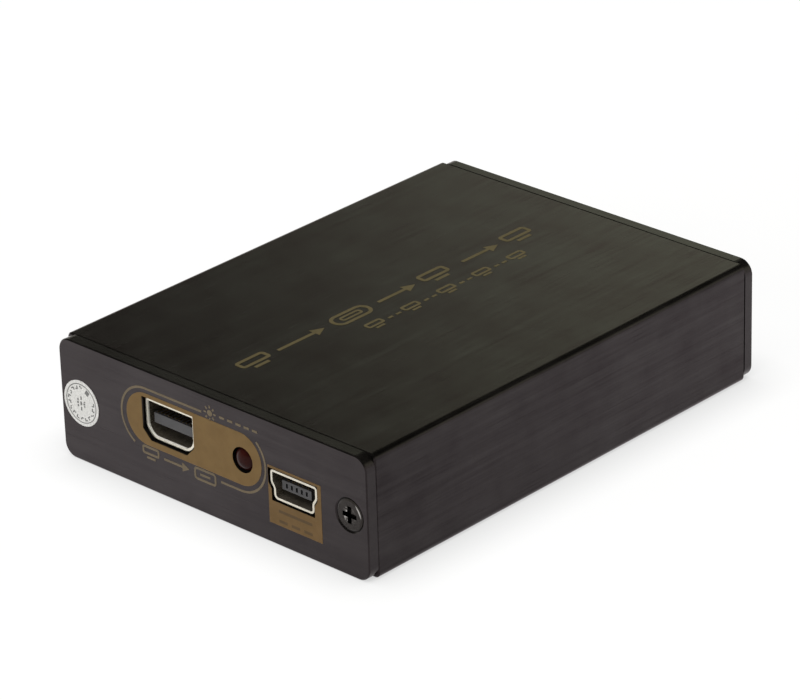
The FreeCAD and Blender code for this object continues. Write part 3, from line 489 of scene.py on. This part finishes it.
def board_laminate():
    """Green solder mask over copper tracks, which show paler, and a woven glass board."""
    paint = Paint("board_laminate")
    weave = paint.noise(0.4, 2.0, 0.5, (1, 6, 1))
    lines = paint.add("ShaderNodeTexWave", {
        "Vector": paint.place, "Scale": 320.0, "Distortion": 0.0}, bands_direction="X").outputs["Fac"]
    field = paint.slide(paint.noise(7.0, 1.0, 0.5, (1, 2, 1)), 0.50, 0.52)
    track = paint.times(paint.slide(lines, 0.50, 0.62), field)
    mask = paint.tint(weave, (0.006, 0.045, 0.020), (0.010, 0.070, 0.032))
    return paint.set(
        Base_Color=paint.blend(track, mask, (0.022, 0.125, 0.055)),
        Roughness=paint.spread(weave, 0.28, 0.40),
        Normal=paint.bump(track, 0.03, 0.5, paint.bump(weave, 0.004, 0.4)))


def dress(material, *names):
    """Give CAD nodes a material."""
    for name in names:
        mesh = nodes[name].data
        mesh.materials.clear()
        mesh.materials.append(material)


def dress_nodes():
    """The material of every CAD node."""
    dress(anodised("anodised_housing", (1, 60, 1), 1.0), "housing_shell")
    dress(anodised("anodised_plate", (60, 1, 1), 0.4), "front_plate", "rear_plate")
    dress(blackened_steel(), "front_screws", "rear_screws")
    dress(seal_vinyl(), "seal_sticker")
    dress(board_laminate(), "circuit_board")
    for name, lip in SHELL_LIP_HIGHLIGHTS.items():
        dress(stamped_shell(name, lip * MM), name)
    dress(moulded("socket_plastic_dark", (0.028, 0.027, 0.029), (0.040, 0.038, 0.041)),
          "video_in_insulator", "power_in_insulator")
    dress(moulded("socket_plastic_black", (0.018, 0.018, 0.019), (0.03, 0.03, 0.031)),
          "video_out_insulator_left", "video_out_insulator_right")
    dress(plated("contact_gold", (0.26, 0.18, 0.08), (0.36, 0.25, 0.12), 0.24, 0.36),
          "video_in_contacts", "power_in_contacts", "video_out_contacts_left",
          "video_out_contacts_right")
    dress(lamp_resin(), "power_led_lens")
    dress(plated("tinned_lead", (0.55, 0.55, 0.54), (0.70, 0.70, 0.69), 0.25, 0.42),
          "power_led_leads", "converter_chip_leads", "splitter_chip_leads",
          "memory_chip_leads", "voltage_regulator_leads")
    dress(moulded("chip_resin", (0.012, 0.012, 0.013), (0.022, 0.022, 0.023), 0.5),
          "converter_chip", "splitter_chip", "memory_chip", "voltage_regulator",
          "surge_arrays", "chip_resistors")
    dress(moulded("inductor_ferrite", (0.05, 0.05, 0.052), (0.085, 0.085, 0.088), 0.6, 0.2, 0.01),
          "power_inductor")
    dress(plated("can_aluminium", (0.66, 0.66, 0.67), (0.78, 0.78, 0.79), 0.2, 0.3),
          "capacitor_cans")
    dress(moulded("base_plastic", (0.012, 0.012, 0.012), (0.02, 0.02, 0.02)), "capacitor_bases")
    dress(plated("crystal_steel", (0.60, 0.59, 0.56), (0.72, 0.71, 0.68), 0.22, 0.34),
          "crystal_can")
    dress(moulded("ceramic_body", (0.32, 0.21, 0.12), (0.42, 0.29, 0.18)), "ceramic_capacitors")


# Outlines of printed marks

def arc(centre, radius, start, end, steps=24):
    """Points along a round arc."""
    turn = (end - start) / steps
    return [
        (centre[0] + radius * math.cos(start + turn * n), centre[1] + radius * math.sin(start + turn * n))
        for n in range(steps + 1)
    ]


def circle(centre, radius, steps):
    """A closed circle, without its first point again at the end."""
    return arc(centre, radius, 0, FULL_TURN, steps)[:-1]


def bar(left, bottom, right, top):
    """A plain rectangle."""
    return [(left, bottom), (right, bottom), (right, top), (left, top)]


def dash(left, length, middle, line):
    """A dash of a given length and line width."""
    return bar(left, middle - line / 2, left + length, middle + line / 2)


def rounded(left, bottom, right, top, radius, steps=8):
    """A rectangle with round corners."""
    corners = (
        (right - radius, bottom + radius, -QUARTER_TURN),
        (right - radius, top - radius, 0.0),
        (left + radius, top - radius, QUARTER_TURN),
        (left + radius, bottom + radius, 2 * QUARTER_TURN),
    )
    return [
        point for x, y, start in corners
        for point in arc((x, y), radius, start, start + QUARTER_TURN, steps)
    ]


def stadium(left, bottom, right, top):
    """A rectangle with round ends, which keep a hair of straight between their quarters."""
    hair = 1e-4
    return rounded(left, bottom, right, top, (top - bottom) / 2 - hair, steps=20)


def frame_of(left, bottom, right, top, radius, line):
    """The two loops of a rounded rectangle's outline."""
    least_radius = 0.05
    inner_radius = max(radius - line, least_radius)
    return [
        rounded(left, bottom, right, top, radius),
        rounded(left + line, bottom + line, right - line, top - line, inner_radius),
    ]


def arrow(left, right, middle, line, head):
    """An arrow that points to the right."""
    neck = right - head
    return [
        (left, middle - line / 2), (neck, middle - line / 2), (neck, middle - head / 2),
        (right, middle), (neck, middle + head / 2), (neck, middle + line / 2), (left, middle + line / 2),
    ]


def band(points, line):
    """A line of a given width along points."""
    def side(sign):
        made = []
        for n, point in enumerate(points):
            before = Vector(points[max(n - 1, 0)])
            after = Vector(points[min(n + 1, len(points) - 1)])
            along = (after - before).normalized()
            made.append((point[0] - sign * along.y * line / 2, point[1] + sign * along.x * line / 2))
        return made
    return side(1) + side(-1)[::-1]


def monitor(left, bottom, width, height, line):
    """A screen on a foot."""
    middle = left + width / 2
    screen = bottom + height * SCREEN_FOOT
    return frame_of(left, screen, left + width, bottom + height, line * SCREEN_CORNERS, line) + [
        bar(middle - width / 4, bottom, middle + width / 4, bottom + line)]


def front_outlines(name):
    """The outlines of a node's flat front face, in millimetres, across and up."""
    same_point = 1e-7
    same_plane = 1e-6
    mesh = bmesh.new()
    mesh.from_mesh(nodes[name].data)
    bmesh.ops.remove_doubles(mesh, verts=mesh.verts, dist=same_point)
    mesh.edges.index_update()
    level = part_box(name)[0].y
    flat = {
        face for face in mesh.faces
        if all(abs(vertex.co.y - level) < same_plane for vertex in face.verts)
    }
    # Kept in the mesh's own order, so that each run gives the same outlines
    rim = {
        edge.index: edge for edge in mesh.edges
        if sum(face in flat for face in edge.link_faces) == 1
    }
    loops = []
    while rim:
        first, vertex = rim.pop(min(rim)).verts
        loop = [first, vertex]
        while vertex != first:
            edge = next(edge for edge in vertex.link_edges if edge.index in rim)
            del rim[edge.index]
            vertex = edge.other_vert(vertex)
            loop.append(vertex)
        loops.append([(vertex.co.x / MM, vertex.co.z / MM) for vertex in loop[:-1]])
    mesh.free()
    return loops


def inside(loop, outline):
    """Whether a loop lies within the box of an outline."""
    return (
        min(x for x, y in loop) > min(x for x, y in outline)
        and max(x for x, y in loop) < max(x for x, y in outline)
        and min(y for x, y in loop) > min(y for x, y in outline)
        and max(y for x, y in loop) < max(y for x, y in outline)
    )


# Printed marks

def print_on(name, loops, matrix, ink):
    """A thin layer of ink in the shape of closed loops, on a surface given by a matrix."""
    curve = bpy.data.curves.new(name, "CURVE")
    curve.dimensions = "2D"
    curve.fill_mode = "BOTH"
    curve.extrude = PRINT_THICKNESS * MM / 2
    for loop in loops:
        spline = curve.splines.new("POLY")
        spline.points.add(len(loop) - 1)
        for point, (x, y) in zip(spline.points, loop):
            point.co = (x * MM, y * MM, 0, 1)
        spline.use_cyclic_u = True
    shape = bpy.data.objects.new(name, curve)
    bpy.context.scene.collection.objects.link(shape)
    bpy.context.view_layer.update()
    ready = shape.evaluated_get(bpy.context.evaluated_depsgraph_get())
    mesh = bpy.data.meshes.new_from_object(ready)
    bpy.data.objects.remove(shape)
    mesh.transform(matrix)
    mesh.materials.clear()
    mesh.materials.append(ink)
    piece = bpy.data.objects.new(name, mesh)
    bpy.context.scene.collection.objects.link(piece)
    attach(piece, "root")


def on_front(face):
    """The matrix from print coordinates to a front face, which lies at this Y."""
    level = face - PRINT_THICKNESS * MM / 2
    return Matrix(((1, 0, 0, 0), (0, 0, -1, level), (0, 1, 0, 0), (0, 0, 0, 1)))


def on_top(face):
    """The matrix from print coordinates to a top face, at this Z, read from the right-hand side."""
    level = face + PRINT_THICKNESS * MM / 2
    return Matrix(((0, -1, 0, 0), (1, 0, 0, 0), (0, 0, 1, level), (0, 0, 0, 1)))


def direct_current(middle):
    """The sign for direct current: a line over three dashes."""
    left = middle - SIGN_WIDTH / 2
    upper = SIGN_UP + SIGN_GAP / 2
    lower = SIGN_UP - SIGN_GAP / 2
    length = SIGN_WIDTH / 4
    loops = [bar(left, upper, middle + SIGN_WIDTH / 2, upper + SIGN_LINE)]
    for n in range(SIGN_DASHES):
        start = left + n * (SIGN_WIDTH - length) / (SIGN_DASHES - 1)
        loops.append(bar(start, lower, start + length, lower + SIGN_LINE))
    return loops


def lamp_mark():
    """A lamp with rays and a row of dashes, in the gap at the top of the ring."""
    loops = [circle((LAMP_ACROSS, LAMP_UP), LAMP_RADIUS, steps=16)]
    for n in range(LAMP_RAYS):
        turn = n * FULL_TURN / LAMP_RAYS
        ray = [
            (LAMP_ACROSS + reach * math.cos(turn), LAMP_UP + reach * math.sin(turn))
            for reach in LAMP_RAY_ENDS
        ]
        loops.append(band(ray, LAMP_RAY_LINE))
    for n in range(LAMP_DASHES):
        loops.append(dash(LAMP_DASH_START + n * LAMP_DASH_STEP, LAMP_DASH_LENGTH, LAMP_UP, SYMBOL_LINE))
    return loops


def input_mark():
    """A screen, an arrow and a box with a slot, in the gap at the bottom of the ring."""
    low = INPUT_UP - INPUT_HALF_HEIGHT
    high = INPUT_UP + INPUT_HALF_HEIGHT
    slot_left, slot_right = INPUT_SLOT
    loops = monitor(INPUT_SCREEN_LEFT, low, INPUT_SCREEN_WIDTH, 2 * INPUT_HALF_HEIGHT, SYMBOL_LINE)
    loops.append(arrow(*INPUT_ARROW, INPUT_UP, SYMBOL_LINE, INPUT_ARROW_HEAD))
    loops += frame_of(INPUT_BOX[0], low, INPUT_BOX[1], high, INPUT_BOX_RADIUS, SYMBOL_LINE)
    loops.append(dash(slot_left, slot_right - slot_left, INPUT_UP, SYMBOL_LINE))
    return loops


def front_print(inks):
    """The gold field round the video input, its ring and the field round the power input."""
    holes = front_outlines("front_plate")
    face = on_front(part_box("front_plate")[0].y)
    pill = stadium(PILL_LEFT, PILL_BOTTOM, PILL_RIGHT, PILL_TOP)
    print_on("gold_field", [pill] + [hole for hole in holes if inside(hole, pill)], face, inks["field"])
    # The panel is printed in a darker copy of the field's gold: painted shade for the dimmer light on the
    # right of the front
    panel = bar(PANEL_LEFT, PANEL_BOTTOM, PANEL_RIGHT, PANEL_TOP)
    sign = direct_current((PANEL_LEFT + PANEL_RIGHT) / 2)
    print_on("gold_panel_shaded", [panel] + sign + [hole for hole in holes if inside(hole, panel)],
             face, inks["panel"])
    print_on("gold_sign", sign, face, inks["sign"])
    middle = (RING_BOTTOM + RING_TOP) / 2
    radius = (RING_TOP - RING_BOTTOM - RING_LINE) / 2
    left = (RING_LEFT + radius + RING_LINE / 2, middle)
    right = (RING_RIGHT - radius - RING_LINE / 2, middle)
    first = [(RING_TOP_END, middle + radius)] + arc(left, radius, QUARTER_TURN, RING_STOP)
    second = arc(right, radius, RING_RESTART, -QUARTER_TURN) + [(RING_BOTTOM_START, middle - radius)]
    print_on("gold_ring", [band(first, RING_LINE), band(second, RING_LINE)], face, inks["line"])
    print_on("gold_marks", lamp_mark() + input_mark(), face, inks["line"])


def title_marks():
    """The upper row on the top: a screen, an arrow, a box, and an arrow and a screen for each output."""
    low = -(TITLE_TOP + TITLE_HEIGHT)
    high = -TITLE_TOP
    middle = (low + high) / 2
    arrow_left, arrow_right = TITLE_ARROW
    core_left, core_right = TITLE_CORE
    loops = monitor(TITLE_START, low, TITLE_SCREEN_WIDTH, TITLE_HEIGHT, TITLE_LINE)
    loops.append(arrow(TITLE_START + arrow_left, TITLE_START + arrow_right, middle, TITLE_LINE,
                       TITLE_ARROW_HEAD))
    left = TITLE_START + TITLE_BOX_START
    loops += frame_of(left, low, left + TITLE_BOX_WIDTH, high, TITLE_BOX_RADIUS, TITLE_LINE)
    loops += frame_of(left + core_left, middle - TITLE_CORE_HALF_HEIGHT, left + core_right,
                      middle + TITLE_CORE_HALF_HEIGHT, TITLE_CORE_RADIUS, TITLE_CORE_LINE)
    for n in range(TITLE_OUTPUTS):
        start = left + TITLE_OUTPUT_START + n * TITLE_OUTPUT_STEP
        loops.append(arrow(start, start + TITLE_OUTPUT_ARROW, middle, TITLE_LINE, TITLE_ARROW_HEAD))
        loops += monitor(start + TITLE_OUTPUT_SCREEN, low, TITLE_SCREEN_WIDTH, TITLE_HEIGHT, TITLE_LINE)
    return loops


def note_marks():
    """The lower row on the top: small screens with two dashes between each pair."""
    low = -(NOTE_TOP + NOTE_HEIGHT)
    middle = low + NOTE_HEIGHT / 2
    step = (NOTE_END - NOTE_START - NOTE_SCREEN_WIDTH) / (NOTE_SCREENS - 1)
    loops = []
    for n in range(NOTE_SCREENS):
        start = NOTE_START + n * step
        loops += monitor(start, low, NOTE_SCREEN_WIDTH, NOTE_HEIGHT, NOTE_LINE)
        if n < NOTE_SCREENS - 1:
            for gap in NOTE_DASH_STARTS:
                loops.append(dash(start + NOTE_SCREEN_WIDTH + gap, NOTE_DASH_LENGTH, middle, NOTE_LINE))
    return loops


def seal_print(ink):
    """A ring, a dial of short marks, a square spot and a few dashes on the seal sticker."""
    low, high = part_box("seal_sticker")
    middle = tuple(place / MM for place in middle_of(low, high))
    middle_across, middle_up = middle
    ring = (high.x - low.x) / 2 / MM * SEAL_RING_SHARE

    def spot(share, turn, length, width):
        """A small bar, radial by its length, at a share of the ring's radius and a turn."""
        out = Vector((math.cos(turn), math.sin(turn)))
        place = Vector(middle) + out * (ring * share)
        return band([tuple(place - out * length / 2), tuple(place + out * length / 2)], width)

    loops = [
        circle(middle, ring, SEAL_RING_STEPS),
        circle(middle, ring - SEAL_RING_LINE, SEAL_RING_STEPS),
        spot(SEAL_SPOT_SHARE, SEAL_SPOT_TURN, *SEAL_SPOT_SIZE),
    ]
    for n in range(SEAL_DIAL_MARKS):
        turn = math.radians(SEAL_DIAL_START + SEAL_DIAL_STEP * n)
        length = SEAL_DIAL_LONG if n % 3 else SEAL_DIAL_SHORT
        loops.append(spot(SEAL_DIAL_SHARE, turn, length, SEAL_DIAL_LINE))
        loops.append(spot(SEAL_TICK_SHARES[n % 2], turn + SEAL_TICK_TURN, *SEAL_TICK_SIZE))
    for n, height in enumerate(SEAL_COLUMNS):
        right = middle_across + (n - 1) * SEAL_COLUMN_STEP + SEAL_DASH_HALF_WIDTH
        thick = height / 4
        for m in range(SEAL_COLUMN_DASHES):
            left = right - 2 * SEAL_DASH_HALF_WIDTH - SEAL_DASH_EXTRA * (m % 2)
            bottom = middle_up - height / 2 + m * (height - thick) / (SEAL_COLUMN_DASHES - 1)
            loops.append(bar(left, bottom, right, bottom + thick))
    print_on("seal_print", loops, on_front(low.y), ink)


# Studio

def make_camera():
    """The photograph's camera, which is rolled a little."""
    back = Vector((
        math.sin(VIEW_AZIMUTH) * math.cos(VIEW_ELEVATION),
        -math.cos(VIEW_AZIMUTH) * math.cos(VIEW_ELEVATION),
        math.sin(VIEW_ELEVATION),
    ))
    level_right = Vector((0, 0, 1)).cross(back).normalized()
    level_up = back.cross(level_right)
    right = math.cos(VIEW_ROLL) * level_right + math.sin(VIEW_ROLL) * level_up
    up = back.cross(right)
    data = bpy.data.cameras.new("camera")
    data.lens = VIEW_LENS
    data.sensor_width = SENSOR_WIDTH
    data.clip_start = VIEW_NEAR
    data.clip_end = VIEW_FAR
    camera = bpy.data.objects.new("camera", data)
    turn = Matrix((right, up, back)).transposed()
    camera.matrix_world = Matrix.Translation(VIEW_TARGET + back * VIEW_DISTANCE) @ turn.to_4x4()
    bpy.context.scene.collection.objects.link(camera)
    bpy.context.scene.camera = camera


def floor_paper():
    """White paper that keeps the box's shadow and looks white, also in gloss."""
    paint = Paint("floor_paper", Roughness=0.9, **{
        "Specular IOR Level": 0.0, "Emission Color": (*WHITE, 1.0)})
    path = paint.add("ShaderNodeLightPath").outputs
    place = paint.parts(paint.place)
    white = paint.spread(paint.length(paint.place), *FLOOR_SEEN, *FLOOR_SEEN_FROM)
    open_sky = paint.add("ShaderNodeAmbientOcclusion", {"Distance": CONTACT_REACH}).outputs["AO"]
    contact = paint.spread(open_sky, 1.0 - CONTACT_DEPTH, 1.0, 0.0, 1.0)
    seen = paint.times(path["Is Camera Ray"], paint.times(white, contact))
    gloss = paint.larger(path["Is Glossy Ray"], path["Is Transmission Ray"])
    mirrored = paint.plus(paint.spread(place["X"], *FLOOR_MIRRORED, *FLOOR_MIRRORED_FROM),
                          paint.spread(place["Y"], *FLOOR_REAR_ADDED, *FLOOR_REAR_FROM))
    tone = paint.tint(paint.noise(40, 2.0), (FLOOR_SHADE,) * 3, (FLOOR_SHADE + FLOOR_SHADE_VARIES,) * 3)
    return paint.set(
        Base_Color=paint.blend(path["Is Camera Ray"], tone, (FLOOR_SHADE_SEEN,) * 3),
        Emission_Strength=paint.larger(seen, paint.times(gloss, mirrored)))


def make_floor():
    """A wide round floor."""
    mesh = bmesh.new()
    bmesh.ops.create_circle(mesh, cap_ends=True, segments=FLOOR_SEGMENTS, radius=FLOOR_RADIUS)
    data = bpy.data.meshes.new("floor")
    mesh.to_mesh(data)
    mesh.free()
    data.materials.append(floor_paper())
    floor = bpy.data.objects.new("floor", data)
    floor.location.z = -FLOOR_GAP
    bpy.context.scene.collection.objects.link(floor)


def make_lamp(name, place, size, power):
    """A soft lamp that points at the box, and that neither the camera nor gloss shows."""
    data = bpy.data.lights.new(name, "AREA")
    data.shape = "RECTANGLE"
    data.size, data.size_y = size
    data.energy = power
    data.color = LAMP_COLOUR
    lamp = bpy.data.objects.new(name, data)
    lamp.location = place
    lamp.rotation_euler = (-Vector(place)).to_track_quat("-Z", "Y").to_euler()
    lamp.visible_camera = False
    lamp.visible_glossy = False
    bpy.context.scene.collection.objects.link(lamp)


def make_surround():
    """A surround that is bright near the floor and, on one side, higher up, and white to the camera."""
    world = bpy.data.worlds.new("surround")
    world.use_nodes = True
    bpy.context.scene.world = world
    sky = Nodes(world.node_tree)
    place = sky.add("ShaderNodeTexCoord").outputs["Generated"]
    height = sky.parts(place)["Z"]
    beside = sky.dot(place, SCREEN_SIDE)
    low = sky.slide(height, *LOW_BAND, 1.0, 0.0)
    screen = sky.times(sky.slide(height, *SCREEN_BAND, 1.0, 0.0), sky.slide(beside, *SCREEN_EDGE))
    level = sky.slide(sky.larger(low, screen), 0.0, 1.0, SURROUND_DIM, SURROUND_BRIGHT)
    colour = sky.blend(low, SCREEN_COLOUR, LOW_COLOUR)
    studio = sky.add("ShaderNodeBackground", {"Color": colour, "Strength": level})
    paper = sky.add("ShaderNodeBackground", {"Color": WHITE, "Strength": 1.0})
    path = sky.add("ShaderNodeLightPath")
    chosen = sky.add("ShaderNodeMixShader", {
        0: path.outputs["Is Camera Ray"], 1: studio.outputs[0], 2: paper.outputs[0]})
    sky.add("ShaderNodeOutputWorld", {"Surface": chosen.outputs[0]})


def make_light():
    """A broad lamp above, a smaller one in front and a surround."""
    make_lamp("key", KEY_PLACE, KEY_SIZE, KEY_POWER)
    make_lamp("fill", FILL_PLACE, FILL_SIZE, FILL_POWER)
    make_surround()


def main():
    """Finish the nodes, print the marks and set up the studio."""
    dress_nodes()
    front_print({
        "field": gold_ink("gold_field", (0.116, 0.066, 0.017), (0.140, 0.082, 0.024)),
        # A darker copy of the field's gold: painted shade for the dimmer light on the right of the front
        "panel": gold_ink("gold_panel_shaded", (0.102, 0.057, 0.0155), (0.124, 0.070, 0.0225)),
        "line": gold_ink("gold_line", (0.102, 0.077, 0.046), (0.127, 0.097, 0.059)),
        "sign": gold_ink("gold_sign", (0.060, 0.034, 0.011), (0.080, 0.046, 0.016)),
    })
    print_on("gold_title", title_marks() + note_marks(), on_top(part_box("housing_shell")[1].z),
             gold_ink("gold_top", (0.082, 0.064, 0.027), (0.102, 0.078, 0.034)))
    seal_print(moulded("seal_ink", (0.06, 0.06, 0.06), (0.14, 0.14, 0.14)))
    make_camera()
    make_floor()
    make_light()
    bpy.context.scene.view_settings.view_transform = "Standard"


main()
